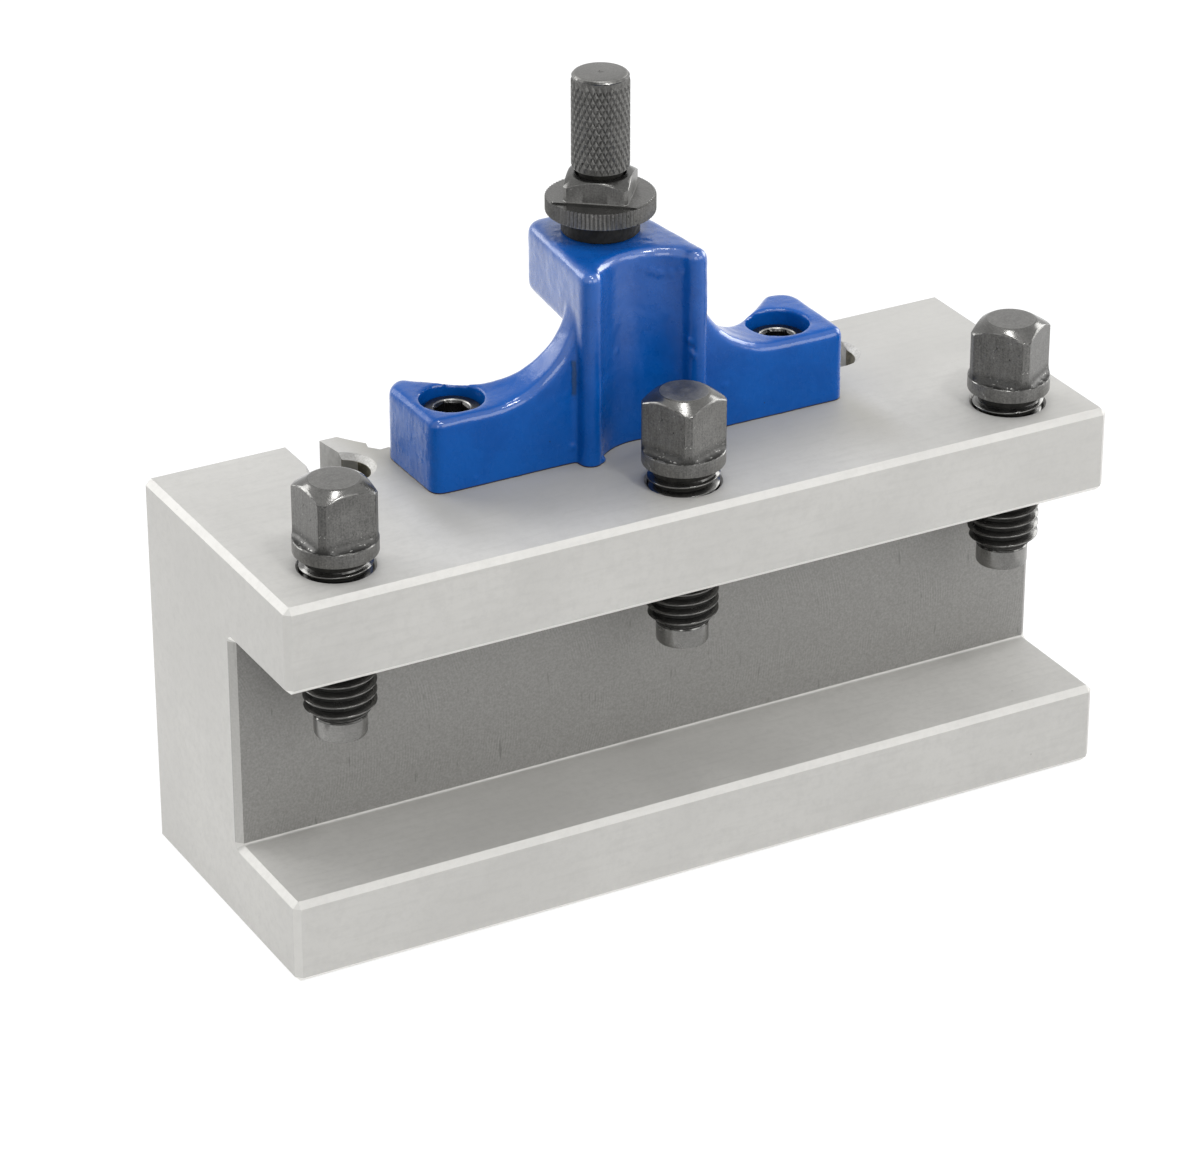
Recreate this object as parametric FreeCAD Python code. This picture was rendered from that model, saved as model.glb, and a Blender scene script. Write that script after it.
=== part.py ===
import FreeCAD, Part
import math
import os
from FreeCAD import Vector

# Quick change lathe tool holder, in millimetres.
# X runs along the holder, -Y is the open tool side, +Y the tool post side, Z is up.
# The origin is the middle of the bottom face.

# Driving sizes: the holder is 150 long, for square shanks of up to 32.
LENGTH = 150.0
DEPTH = 53.0
LOWER_JAW = 14.5
SLOT_HEIGHT = 37.0
UPPER_JAW = 15.0
SLOT_DEPTH = 21.0
WEB = 8.0
EDGE_CHAMFER = 1.0
SLOT_FILLET = 0.4

HEIGHT = LOWER_JAW + SLOT_HEIGHT + UPPER_JAW
END_X = LENGTH / 2
FRONT = -DEPTH / 2
BACK = DEPTH / 2
SLOT_WALL = FRONT + SLOT_DEPTH
SEAT_FLOOR = SLOT_WALL + WEB
ROOF = LOWER_JAW + SLOT_HEIGHT

# How far a cutting shape starts outside what it cuts.
OVER = 1.0

# The toothed seat that wraps round the tool post, a post with forty tooth positions.
SEAT_R = 48.0
POST_CENTRE_Y = SEAT_FLOOR + SEAT_R
TOOTH_ANGLE = 360.0 / 40
TOOTH_COUNT = 12
GROOVE_DEPTH = 1.7
GROOVE_MOUTH = 4.6
GROOVE_ROOT = 2.2

# The hook slots either side of the seat, each behind a lug at the seat's edge.
LUG_TIP = 2.8
LUG_TIP_SETBACK = 1.5
LUG_ROOT = 1.8
LUG_ROOT_SETBACK = 8.1
HOOK_OUT = 8.7
POCKET_OUT = 4.0
POCKET_SETBACK = 12.1
POCKET_R = 4.7
POCKET_CHAMFER = 1.0
SEAT_EDGE_X = math.sqrt(SEAT_R ** 2 - (POST_CENTRE_Y - BACK) ** 2)

# Clamp screws, M12, with square heads milled from round bar.
CLAMP_INSET = 13.35
CLAMP_SHIFT = 0.3
CLAMP_SETBACK = 10.4
CLAMP_SPACING = END_X - CLAMP_INSET
CLAMP_X = {"left": CLAMP_SHIFT - CLAMP_SPACING, "middle": CLAMP_SHIFT, "right": CLAMP_SHIFT + CLAMP_SPACING}
CLAMP_Y = FRONT + CLAMP_SETBACK
CLAMP_R = 5.9
CLAMP_BORE_R = CLAMP_R + 0.05
CLAMP_SINK_R = 6.35
HEAD_R = 6.8
HEAD_HEIGHT = 12.35
HEAD_FLATS = 10.5
HEAD_SLOPE = 32.0
COLLAR_HEIGHT = 2.4
COLLAR_BEVEL = 0.2
HEAD_TOP_R = 4.1
NECK_R = 5.3
NECK_LENGTH = 1.2
THREAD_LENGTH = 27.0
THREAD_TOP = 0.5
THREAD_TIP = 1.5
DOG_R = 4.3
DOG_LENGTH = 3.8
DOG_BEVEL = 0.5
COLLAR_LIFT = {"left": 2.6, "middle": 3.5, "right": 2.6}
HEAD_TURN = {"left": 2.5, "middle": 21.5, "right": 34.5}

# The cast bracket on the top face, placed from the deepest line of the seat.
CAST_CLEAR = 0.2
CAST_EDGE = 1.6
WING_LEAD = 4.7
WING_DEPTH = 18.4
WING_HEIGHT = 12.8
LEFT_END = 3.4
RIGHT_END = 5.0
WING_FRONT_CORNER = 2.0
WING_BACK_CORNER = 3.6
WING_FRONT = SEAT_FLOOR - WING_LEAD
WING_BACK = WING_FRONT + WING_DEPTH
WING_ARC_X = math.sqrt((SEAT_R + CAST_CLEAR) ** 2 - (POST_CENTRE_Y - WING_BACK) ** 2)
WING_LEFT = -WING_ARC_X - LEFT_END
WING_RIGHT = WING_ARC_X + RIGHT_END
SWEEP_R = 15.8
SWEEP_END = 10.9
TOWER_HALF = 11.5
TOWER_BACK_HALF = 9.0
TOWER_DEPTH = 23.9
TOWER_CORNER = 3.2
TOWER_HEIGHT = 33.5
TOWER_EDGE = 1.7
UNDERSIDE = 21.6
RIB_R = 1.9
RIB_LEAD = 1.1
RIB_Y = WING_FRONT - RIB_LEAD
TOWER_BACK = RIB_Y + TOWER_DEPTH
SCOOP_R = 10.2
SCOOP_WALL = 2.2
SCOOP_Y = SEAT_FLOOR - SCOOP_WALL - SCOOP_R

# Bracket screws, M6 socket head cap screws in counterbores.
CAP_INSET = 3.7
CAP_SETBACK = 7.5
CAP_X = WING_ARC_X - CAP_INSET
CAP_Y = WING_FRONT + CAP_SETBACK
CAP_R = 3.0
CAP_HEAD_R = 5.0
CAP_HEAD = 6.0
CAP_BEVEL = 0.5
CAP_SOCKET = 5.0
CAP_SOCKET_DEPTH = 3.2
CAP_LENGTH = 16.0
CAP_TIP = 0.8
CAP_HOLE_R = 3.3
CAP_BORE_R = CAP_R + 0.05
CAP_COUNTERBORE_R = 5.25
CAP_SINK = {"left": 1.8, "right": 2.4}
TAP_DEPTH = 14.0

# Height adjusting screw, M8, with its lock nut.
SPINDLE_SETBACK = 13.1
SPINDLE_Y = WING_FRONT + SPINDLE_SETBACK
SPINDLE_R = 4.0
SPINDLE_BORE_R = SPINDLE_R + 0.05
NUT_HUB_R = 6.4
NUT_HUB = 3.4
NUT_FLANGE_R = 9.0
NUT_FLANGE = 3.1
FLANGE_BEVEL = 0.2
NUT_SQUARE = 10.6
NUT_CORNER_R = 7.05
NUT_SQUARE_HEIGHT = 3.6
NUT_TURN = -38.4
KNURL_R = 4.75
KNURL_GAP = 0.7
KNURL_BOTTOM = TOWER_HEIGHT + NUT_HUB + NUT_FLANGE + NUT_SQUARE_HEIGHT + KNURL_GAP
KNURL_LENGTH = 15.85
CROWN = 0.45
STEM_TOP_R = 3.85
SPINDLE_TIP = 12.0
TIP_BEVEL = 1.0
UNDERCUT = 0.4
UNDERCUT_LENGTH = 2.0

os.makedirs("parts", exist_ok=True)


def cylinder(radius, height, x, y, z):
    return Part.makeCylinder(radius, height, Vector(x, y, z))


def cone(low_r, high_r, height, x, y, z):
    return Part.makeCone(low_r, high_r, height, Vector(x, y, z))


def drill(radius, x, y):
    """A round cutter that passes right through whatever stands at that place."""
    return cylinder(radius, 3 * HEIGHT, x, y, -HEIGHT)


def fuse_all(shapes):
    joined = shapes[0]
    for shape in shapes[1:]:
        joined = joined.fuse(shape)
    return joined.removeSplitter()


def plan_prism(points, low, high):
    corners = [Vector(x, y, low) for x, y in points]
    face = Part.Face(Part.makePolygon(corners + [corners[0]]))
    return face.extrude(Vector(0, 0, high - low))


def mirrored(shape):
    return shape.mirror(Vector(0, 0, 0), Vector(1, 0, 0))


def both_sides(shape):
    return [shape, mirrored(shape)]


def upright_edges(shape, places):
    """Vertical straight edges that stand at one of the plan places."""
    found = []
    for edge in shape.Edges:
        box = edge.BoundBox
        if box.XLength > 0.01 or box.YLength > 0.01:
            continue
        for x, y in places:
            if abs(box.Center.x - x) < 0.05 and abs(box.Center.y - y) < 0.05:
                found.append(edge)
    return found


def square_prism(across, low, high, turn):
    half = across / 2
    prism = plan_prism([(-half, -half), (half, -half), (half, half), (-half, half)], low, high)
    prism.rotate(Vector(0, 0, 0), Vector(0, 0, 1), turn)
    return prism


def slotted_block():
    """The C shaped block: jaws, slot with filleted inner corners, and chamfered edges all round."""
    outline = [(FRONT, 0), (BACK, 0), (BACK, HEIGHT), (FRONT, HEIGHT), (FRONT, ROOF), (SLOT_WALL, ROOF),
               (SLOT_WALL, LOWER_JAW), (FRONT, LOWER_JAW)]
    corners = [Vector(-LENGTH / 2, y, z) for y, z in outline]
    block = Part.Face(Part.makePolygon(corners + [corners[0]])).extrude(Vector(LENGTH, 0, 0))
    inner = [e for e in block.Edges if e.BoundBox.XLength > 1 and abs(e.BoundBox.Center.y - SLOT_WALL) < 0.01]
    block = block.makeFillet(SLOT_FILLET, inner)
    sharp = []
    for edge in block.Edges:
        box = edge.BoundBox
        on_end = box.XLength < 0.01
        on_slot_wall = box.Center.y > SLOT_WALL - SLOT_FILLET - 0.01 and box.Center.y < 0
        if on_end or not on_slot_wall:
            sharp.append(edge)
    return block.makeChamfer(EDGE_CHAMFER, sharp)


def seat_grooves():
    """Upright grooves in the seat that the post's teeth drop into."""
    cuts = []
    for i in range(TOOTH_COUNT):
        angle = (i - (TOOTH_COUNT - 1) / 2) * TOOTH_ANGLE
        inner = SEAT_R - OVER
        outer = SEAT_R + GROOVE_DEPTH
        mouth = GROOVE_MOUTH / 2
        root = GROOVE_ROOT / 2
        groove = plan_prism([(-mouth, -inner), (-mouth, -SEAT_R), (-root, -outer), (root, -outer),
                             (mouth, -SEAT_R), (mouth, -inner)], -OVER, HEIGHT + OVER)
        groove.rotate(Vector(0, 0, 0), Vector(0, 0, 1), angle)
        groove.translate(Vector(0, POST_CENTRE_Y, 0))
        cuts.append(groove)
    return cuts


def post_seat():
    seat = drill(SEAT_R, 0, POST_CENTRE_Y)
    chamfer = EDGE_CHAMFER / 2
    top = cone(SEAT_R, SEAT_R + chamfer, chamfer, 0, POST_CENTRE_Y, HEIGHT - chamfer)
    bottom = cone(SEAT_R + chamfer, SEAT_R, chamfer, 0, POST_CENTRE_Y, 0)
    return [seat, top, bottom]


def hook_slot():
    """Left hook slot: a channel in from the back face with a round pocket behind the lug."""
    wall_x = -SEAT_EDGE_X - HOOK_OUT
    tip_x = -SEAT_EDGE_X - LUG_TIP
    tip_y = BACK - LUG_TIP_SETBACK
    root_x = -SEAT_EDGE_X - LUG_ROOT
    root_y = BACK - LUG_ROOT_SETBACK
    pocket_x = -SEAT_EDGE_X - POCKET_OUT
    pocket_y = BACK - POCKET_SETBACK
    channel = plan_prism([(wall_x, pocket_y), (wall_x, BACK + OVER), (tip_x, BACK + OVER), (tip_x, tip_y),
                          (root_x, root_y), (pocket_x, pocket_y)], -OVER, HEIGHT + OVER)
    wide_r = POCKET_R + POCKET_CHAMFER
    pocket = drill(POCKET_R, pocket_x, pocket_y)
    sink = cone(POCKET_R, wide_r, POCKET_CHAMFER, pocket_x, pocket_y, HEIGHT - POCKET_CHAMFER)
    rise = cone(wide_r, POCKET_R, POCKET_CHAMFER, pocket_x, pocket_y, 0)
    past_x = tip_x - OVER
    past_y = BACK + OVER
    corners = [(past_x, tip_y), (0, tip_y), (0, past_y), (past_x, past_y)]
    beyond_tip = plan_prism(corners, -OVER, HEIGHT + OVER)
    return [channel, pocket, sink, rise, beyond_tip]


def clamp_bore(x):
    sink = CLAMP_SINK_R - CLAMP_BORE_R
    bore = cylinder(CLAMP_BORE_R, UPPER_JAW + 2 * OVER, x, CLAMP_Y, ROOF - OVER)
    top = cone(CLAMP_BORE_R, CLAMP_SINK_R, sink, x, CLAMP_Y, HEIGHT - sink)
    low = cone(CLAMP_SINK_R, CLAMP_BORE_R, sink, x, CLAMP_Y, ROOF)
    return [bore, top, low]


def holder_body():
    body = slotted_block().cut(fuse_all(post_seat()))
    body = body.cut(seat_grooves())
    for shape in hook_slot():
        body = body.cut(both_sides(shape))
    for x in CLAMP_X.values():
        body = body.cut(clamp_bore(x))
    for x in (-CAP_X, CAP_X):
        body = body.cut(cylinder(CAP_BORE_R, TAP_DEPTH + OVER, x, CAP_Y, HEIGHT - TAP_DEPTH))
    return body.removeSplitter()


def clamp_screw(side, x):
    """A square head on a round collar, a short neck, the threaded shank and the dog point."""
    slope = (HEAD_R - HEAD_TOP_R) * math.tan(math.radians(HEAD_SLOPE))
    blank = cylinder(HEAD_R, HEAD_HEIGHT - slope, 0, 0, 0)
    blank = blank.fuse(cone(HEAD_R, HEAD_TOP_R, slope, 0, 0, HEAD_HEIGHT - slope))
    head = blank.common(square_prism(HEAD_FLATS, COLLAR_HEIGHT, HEAD_HEIGHT + OVER, HEAD_TURN[side]))
    collar = cylinder(HEAD_R, COLLAR_HEIGHT - COLLAR_BEVEL, 0, 0, COLLAR_BEVEL)
    under_collar = cone(HEAD_R - COLLAR_BEVEL, HEAD_R, COLLAR_BEVEL, 0, 0, 0)
    neck = cylinder(NECK_R, NECK_LENGTH, 0, 0, -NECK_LENGTH)
    thread_end = -NECK_LENGTH - THREAD_LENGTH
    thread = cylinder(CLAMP_R, THREAD_LENGTH - THREAD_TOP - THREAD_TIP, 0, 0, thread_end + THREAD_TIP)
    lead_out = cone(CLAMP_R, NECK_R, THREAD_TOP, 0, 0, -NECK_LENGTH - THREAD_TOP)
    lead_in = cone(CLAMP_R - THREAD_TIP, CLAMP_R, THREAD_TIP, 0, 0, thread_end)
    dog_end = thread_end - DOG_LENGTH
    dog = cylinder(DOG_R, DOG_LENGTH - DOG_BEVEL, 0, 0, dog_end + DOG_BEVEL)
    dog_tip = cone(DOG_R - DOG_BEVEL, DOG_R, DOG_BEVEL, 0, 0, dog_end)
    screw = fuse_all([head, collar, under_collar, neck, lead_out, thread, lead_in, dog, dog_tip])
    screw.translate(Vector(x, CLAMP_Y, HEIGHT + COLLAR_LIFT[side]))
    return screw


def level_edges(shape, z):
    """Edges that lie flat at one height."""
    return [e for e in shape.Edges if abs(e.BoundBox.ZMin - z) < 0.01 and e.BoundBox.ZLength < 0.02]


def wing_profile():
    """Outline of the wings seen from the front, as a face in the XZ plane."""
    rise = WING_HEIGHT + SWEEP_R
    run = SWEEP_END + SWEEP_R
    near = SWEEP_R * math.sin(math.radians(45))
    low_left = Vector(-run, 0, WING_HEIGHT)
    low_right = Vector(run, 0, WING_HEIGHT)
    high_left = Vector(-SWEEP_END, 0, rise)
    high_right = Vector(SWEEP_END, 0, rise)
    left_sweep = Part.Arc(low_left, Vector(-run + near, 0, rise - near), high_left).toShape()
    right_sweep = Part.Arc(high_right, Vector(run - near, 0, rise - near), low_right).toShape()
    left_end = [Vector(WING_LEFT, 0, 0), Vector(WING_LEFT, 0, WING_HEIGHT), low_left]
    right_end = [low_right, Vector(WING_RIGHT, 0, WING_HEIGHT), Vector(WING_RIGHT, 0, 0), left_end[0]]
    edges = [Part.makeLine(a, b) for a, b in zip(left_end, left_end[1:])]
    edges += [left_sweep, Part.makeLine(high_left, high_right), right_sweep]
    edges += [Part.makeLine(a, b) for a, b in zip(right_end, right_end[1:])]
    return Part.Face(Part.Wire(edges))


def wing_rim(shape):
    """The upper edges of the wings, without the top line that ends up inside the tower."""
    found = []
    for edge in shape.Edges:
        box = edge.BoundBox
        across = box.YLength > CAST_EDGE and box.XLength < 0.01 and abs(box.XMin) < SWEEP_END + SWEEP_R + OVER
        inside_tower = box.ZMin > WING_HEIGHT + SWEEP_R - 0.1
        if box.ZMin > WING_HEIGHT - 0.1 and not across and not inside_tower:
            found.append(edge)
    return found


def wings():
    shape = wing_profile().extrude(Vector(0, WING_BACK - WING_FRONT, 0))
    shape.translate(Vector(0, WING_FRONT, 0))
    front_corners = upright_edges(shape, [(WING_LEFT, WING_FRONT), (WING_RIGHT, WING_FRONT)])
    shape = shape.makeFillet(WING_FRONT_CORNER, front_corners)
    back_corners = upright_edges(shape, [(WING_LEFT, WING_BACK), (WING_RIGHT, WING_BACK)])
    shape = shape.makeFillet(WING_BACK_CORNER, back_corners)
    shape = shape.cut(drill(SEAT_R + CAST_CLEAR, 0, POST_CENTRE_Y))
    return shape.makeFillet(CAST_EDGE, wing_rim(shape))


def tower():
    plan = [(-TOWER_HALF, RIB_Y), (TOWER_HALF, RIB_Y)]
    plan += [(TOWER_BACK_HALF, TOWER_BACK), (-TOWER_BACK_HALF, TOWER_BACK)]
    shape = plan_prism(plan, 0, TOWER_HEIGHT)
    shape = shape.makeFillet(TOWER_CORNER, upright_edges(shape, plan[2:]))
    shape = shape.cut(cylinder(SEAT_R + CAST_CLEAR, UNDERSIDE + OVER, 0, POST_CENTRE_Y, -OVER))
    under = [e for e in level_edges(shape, UNDERSIDE) if e.BoundBox.YMax > SEAT_FLOOR + CAST_EDGE]
    return shape.makeFillet(CAST_EDGE, under)


def height_bracket():
    rib_x = TOWER_HALF - RIB_R
    shape = wings().fuse(tower()).removeSplitter()
    shape = shape.cut(drill(SCOOP_R, 0, SCOOP_Y))
    shape = shape.fuse([cylinder(RIB_R, TOWER_HEIGHT, x, RIB_Y, 0) for x in (-rib_x, rib_x)]).removeSplitter()
    valley_y = SCOOP_Y + math.sqrt(SCOOP_R ** 2 - (rib_x - RIB_R) ** 2)
    valleys = [(side * (rib_x - RIB_R), valley_y) for side in (-1, 1)]
    shape = shape.makeFillet(CAST_EDGE, upright_edges(shape, valleys))
    shape = shape.makeFillet(TOWER_EDGE, level_edges(shape, TOWER_HEIGHT))
    for side, x in (("left", -CAP_X), ("right", CAP_X)):
        floor = WING_HEIGHT - CAP_SINK[side] - CAP_HEAD
        shape = shape.cut(drill(CAP_HOLE_R, x, CAP_Y))
        shape = shape.cut(cylinder(CAP_COUNTERBORE_R, HEIGHT, x, CAP_Y, floor))
    shape = shape.cut(drill(SPINDLE_BORE_R, 0, SPINDLE_Y))
    shape.translate(Vector(0, 0, HEIGHT))
    return shape


def bracket_screw(side, x):
    corner = CAP_SOCKET / math.sqrt(3)
    turns = [math.radians(60 * i) for i in range(6)]
    hexagon = [(corner * math.cos(turn), corner * math.sin(turn)) for turn in turns]
    socket = plan_prism(hexagon, CAP_HEAD - CAP_SOCKET_DEPTH, CAP_HEAD + OVER)
    head = cylinder(CAP_HEAD_R, CAP_HEAD - CAP_BEVEL, 0, 0, 0)
    rim = cone(CAP_HEAD_R, CAP_HEAD_R - CAP_BEVEL, CAP_BEVEL, 0, 0, CAP_HEAD - CAP_BEVEL)
    shank = cylinder(CAP_R, CAP_LENGTH - CAP_TIP, 0, 0, -CAP_LENGTH + CAP_TIP)
    tip = cone(CAP_R - CAP_TIP, CAP_R, CAP_TIP, 0, 0, -CAP_LENGTH)
    screw = fuse_all([head, rim, shank, tip]).cut(socket)
    screw.translate(Vector(x, CAP_Y, HEIGHT + WING_HEIGHT - CAP_SINK[side] - CAP_HEAD))
    return screw


def adjusting_screw():
    knurl = cylinder(KNURL_R, KNURL_LENGTH, 0, 0, KNURL_BOTTOM)
    crown = cone(KNURL_R, STEM_TOP_R, CROWN, 0, 0, KNURL_BOTTOM + KNURL_LENGTH)
    neck = cylinder(SPINDLE_R - UNDERCUT, UNDERCUT_LENGTH, 0, 0, KNURL_BOTTOM - UNDERCUT_LENGTH)
    thread_top = KNURL_BOTTOM - UNDERCUT_LENGTH
    thread = cylinder(SPINDLE_R, thread_top - SPINDLE_TIP - TIP_BEVEL, 0, 0, SPINDLE_TIP + TIP_BEVEL)
    tip = cone(SPINDLE_R - TIP_BEVEL, SPINDLE_R, TIP_BEVEL, 0, 0, SPINDLE_TIP)
    screw = fuse_all([knurl, crown, neck, thread, tip])
    screw.translate(Vector(0, SPINDLE_Y, HEIGHT))
    return screw


def lock_nut():
    """A round hub under a knurled flange, with a square on top for a spanner."""
    base = NUT_HUB + NUT_FLANGE
    hub = cylinder(NUT_HUB_R, NUT_HUB, 0, 0, 0)
    flange = cylinder(NUT_FLANGE_R, NUT_FLANGE, 0, 0, NUT_HUB)
    flange = flange.makeChamfer(FLANGE_BEVEL, level_edges(flange, NUT_HUB) + level_edges(flange, base))
    inner = NUT_SQUARE / 2
    drop = (NUT_CORNER_R - inner) * math.tan(math.radians(30))
    blank = cylinder(NUT_CORNER_R, NUT_SQUARE_HEIGHT - drop, 0, 0, base)
    crown = cone(NUT_CORNER_R, inner, drop, 0, 0, base + NUT_SQUARE_HEIGHT - drop)
    flats = square_prism(NUT_SQUARE, base, base + NUT_SQUARE_HEIGHT + OVER, NUT_TURN)
    square = blank.fuse(crown).common(flats)
    nut = fuse_all([hub, flange, square]).cut(drill(SPINDLE_BORE_R, 0, 0))
    nut.translate(Vector(0, SPINDLE_Y, HEIGHT + TOWER_HEIGHT))
    return nut


holder_body().exportStep("parts/holder_body.step")
for side, x in CLAMP_X.items():
    clamp_screw(side, x).exportStep("parts/clamp_screw_" + side + ".step")
height_bracket().exportStep("parts/height_bracket.step")
for side, x in (("left", -CAP_X), ("right", CAP_X)):
    bracket_screw(side, x).exportStep("parts/bracket_screw_" + side + ".step")
adjusting_screw().exportStep("parts/adjusting_screw.step")
lock_nut().exportStep("parts/lock_nut.step")
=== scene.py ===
import math

import bpy
import bmesh
import numpy as np
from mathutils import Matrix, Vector, noise

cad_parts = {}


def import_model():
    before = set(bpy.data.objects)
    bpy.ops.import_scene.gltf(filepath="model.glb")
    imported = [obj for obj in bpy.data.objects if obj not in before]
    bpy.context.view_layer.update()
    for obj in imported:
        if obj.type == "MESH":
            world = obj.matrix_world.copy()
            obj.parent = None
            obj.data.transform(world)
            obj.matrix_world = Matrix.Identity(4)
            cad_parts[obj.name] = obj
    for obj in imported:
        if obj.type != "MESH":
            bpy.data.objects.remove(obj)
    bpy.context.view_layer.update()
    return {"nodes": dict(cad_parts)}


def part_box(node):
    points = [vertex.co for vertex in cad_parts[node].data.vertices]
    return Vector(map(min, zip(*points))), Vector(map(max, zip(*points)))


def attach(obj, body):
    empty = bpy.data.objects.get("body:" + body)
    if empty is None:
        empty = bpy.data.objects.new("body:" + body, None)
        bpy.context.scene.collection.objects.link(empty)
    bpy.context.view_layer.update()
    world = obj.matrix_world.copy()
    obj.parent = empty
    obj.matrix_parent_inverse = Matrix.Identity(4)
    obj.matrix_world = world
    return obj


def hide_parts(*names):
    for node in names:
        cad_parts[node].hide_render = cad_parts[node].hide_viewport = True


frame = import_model()

MM = 0.001
FULL_TURN = 2 * math.pi

# Sizes in millimetres, as in the solids that the pieces stand for
TOP_FACE = 66.5
SLOT_WALL_Y = -5.5
SLOT_LOW = 14.5
SLOT_HIGH = 51.5
POCKET_X = 45.57
POCKET_Y = 14.4
WING_END_X = -37.3
CLAMP_TURN = {"left": 2.5, "middle": 21.5, "right": 34.5}
NUT_TURN = -38.4
SCRAPE = (-12.1, 81.6)

# Marks on faces, which pick one of a piece's materials
# The mark for gaps, thread roots, bores and the nut's hub paints their shade in near-black
PLAIN, WORN, POINT, RUBBED, GLOSSY, GAP_SHADE, SHINY = range(7)


# Node materials

class Shader:
    """A node tree under construction: short calls that add a node and return its output."""

    def __init__(self, name, surface=True):
        self.material = bpy.data.materials.new(name)
        self.material.use_nodes = True
        self.tree = self.material.node_tree
        self.tree.nodes.clear()
        self.output = self.tree.nodes.new("ShaderNodeOutputMaterial")
        if surface:
            self.bsdf = self.tree.nodes.new("ShaderNodeBsdfPrincipled")
            self.tree.links.new(self.bsdf.outputs[0], self.output.inputs["Surface"])
        self.space = self.tree.nodes.new("ShaderNodeTexCoord").outputs["Object"]

    def put(self, socket, value):
        if isinstance(value, bpy.types.NodeSocket):
            self.tree.links.new(value, socket)
        else:
            socket.default_value = value

    def add(self, kind, settings=None, output=0, **inputs):
        """A node and one of its outputs. Inputs are named, or numbered as i0, i1 and so on."""
        node = self.tree.nodes.new("ShaderNode" + kind)
        for key, value in (settings or {}).items():
            setattr(node, key, value)
        for key, value in inputs.items():
            name = key.replace("_", " ")
            socket = node.inputs[int(key[1:])] if key[1:].isdigit() else node.inputs[name]
            self.put(socket, value)
        return node.outputs[output]

    def math(self, operation, a, b=0.0, c=0.0):
        return self.add("Math", {"operation": operation}, i0=a, i1=b, i2=c)

    def product(self, *values):
        result = values[0]
        for value in values[1:]:
            result = self.math("MULTIPLY", result, value)
        return result

    def stretched(self, x, y, z):
        return self.add("VectorMath", {"operation": "MULTIPLY"}, i0=self.space, i1=(x, y, z))

    def noise(self, per_mm, detail=3.0, rough=0.55, warp=0.0, source=None):
        return self.add("TexNoise", Vector=source or self.space, Scale=per_mm / MM, Detail=detail,
                        Roughness=rough, Distortion=warp)

    def spots(self, per_mm, radius):
        """One in the middle of scattered round spots, nought between them."""
        cells = self.add("TexVoronoi", {"feature": "F1"}, Vector=self.space, Scale=per_mm / MM)
        return self.ramp(cells, radius * 0.6, radius, 1.0, 0.0)

    def ramp(self, value, low, high, to_low=0.0, to_high=1.0):
        return self.add("MapRange", {"interpolation_type": "SMOOTHSTEP"}, Value=value, i1=low, i2=high,
                        i3=to_low, i4=to_high)

    def blend(self, share, a, b):
        node = self.tree.nodes.new("ShaderNodeMix")
        node.data_type = "RGBA"
        for index, value in ((0, share), (6, a), (7, b)):
            self.put(node.inputs[index], value)
        return node.outputs[2]

    def between(self, share, a, b):
        return self.add("Mix", i0=share, i2=a, i3=b)

    def bump(self, height, depth_mm, strength=1.0, normal=None):
        node = self.tree.nodes.new("ShaderNodeBump")
        node.inputs["Strength"].default_value = strength
        node.inputs["Distance"].default_value = depth_mm * MM
        self.put(node.inputs["Height"], height)
        if normal is not None:
            self.put(node.inputs["Normal"], normal)
        return node.outputs[0]

    def axes(self):
        node = self.tree.nodes.new("ShaderNodeSeparateXYZ")
        self.put(node.inputs[0], self.space)
        return node.outputs

    def facing(self):
        """The parts of the direction that the surface looks in."""
        node = self.tree.nodes.new("ShaderNodeSeparateXYZ")
        self.put(node.inputs[0], self.tree.nodes.new("ShaderNodeNewGeometry").outputs["Normal"])
        return node.outputs

    def near(self, axis, place, reach):
        """One where a coordinate is within reach of a place, both in millimetres."""
        offset = self.math("ABSOLUTE", self.math("SUBTRACT", axis, place * MM))
        return self.math("LESS_THAN", offset, reach * MM)

    def distance(self, x, y, centre_x, centre_y):
        """Millimetres in plan between a point and an upright axis."""
        dx = self.math("SUBTRACT", x, centre_x * MM)
        dy = self.math("SUBTRACT", y, centre_y * MM)
        squares = self.math("ADD", self.product(dx, dx), self.product(dy, dy))
        return self.math("DIVIDE", self.math("SQRT", squares), MM)

    def finish(self, **inputs):
        for key, value in inputs.items():
            self.put(self.bsdf.inputs[key.replace("_", " ")], value)
        return self.material


def grey(level, warm=0.05):
    return (level, level * (1 - 0.25 * warm), level * (1 - warm), 1.0)


def cutter_marks(s, x, z):
    """Arcs that a face cutter left on the slot's wall, plain in some places and faint in others."""
    cutter_r, cutter_z = 38 * MM, 26 * MM
    tooth_feed = 0.5 * MM
    reach = s.math("SUBTRACT", z, cutter_z)
    across = s.math("MAXIMUM", s.math("SUBTRACT", cutter_r ** 2, s.product(reach, reach)), 0.0)
    wander = s.product(s.noise(0.5), 0.6 * MM)
    swept = s.math("ADD", s.math("SUBTRACT", x, s.math("SQRT", across)), wander)
    arcs = s.math("SINE", s.product(swept, FULL_TURN / tooth_feed))
    return s.product(arcs, s.ramp(s.noise(0.16, 3.0), 0.45, 0.68, 0.0, 0.06))


def inside_bores(s, x, y, z, pocket, bores):
    """One inside the round pockets and the clamp screws' bores, below their edges, where their shade is
    painted.
    """
    pocket_r, bore_r = 4.95, 6.3
    high = s.math("LESS_THAN", z, (TOP_FACE - 0.95) * MM)
    within = s.math("GREATER_THAN", z, (SLOT_HIGH + 0.5) * MM)
    dark = s.product(s.math("LESS_THAN", pocket, pocket_r), high)
    for bore_x, bore_y in bores:
        inside = s.math("LESS_THAN", s.distance(x, y, bore_x, bore_y), bore_r)
        dark = s.math("MAXIMUM", dark, s.product(inside, within, high))
    return dark


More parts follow.
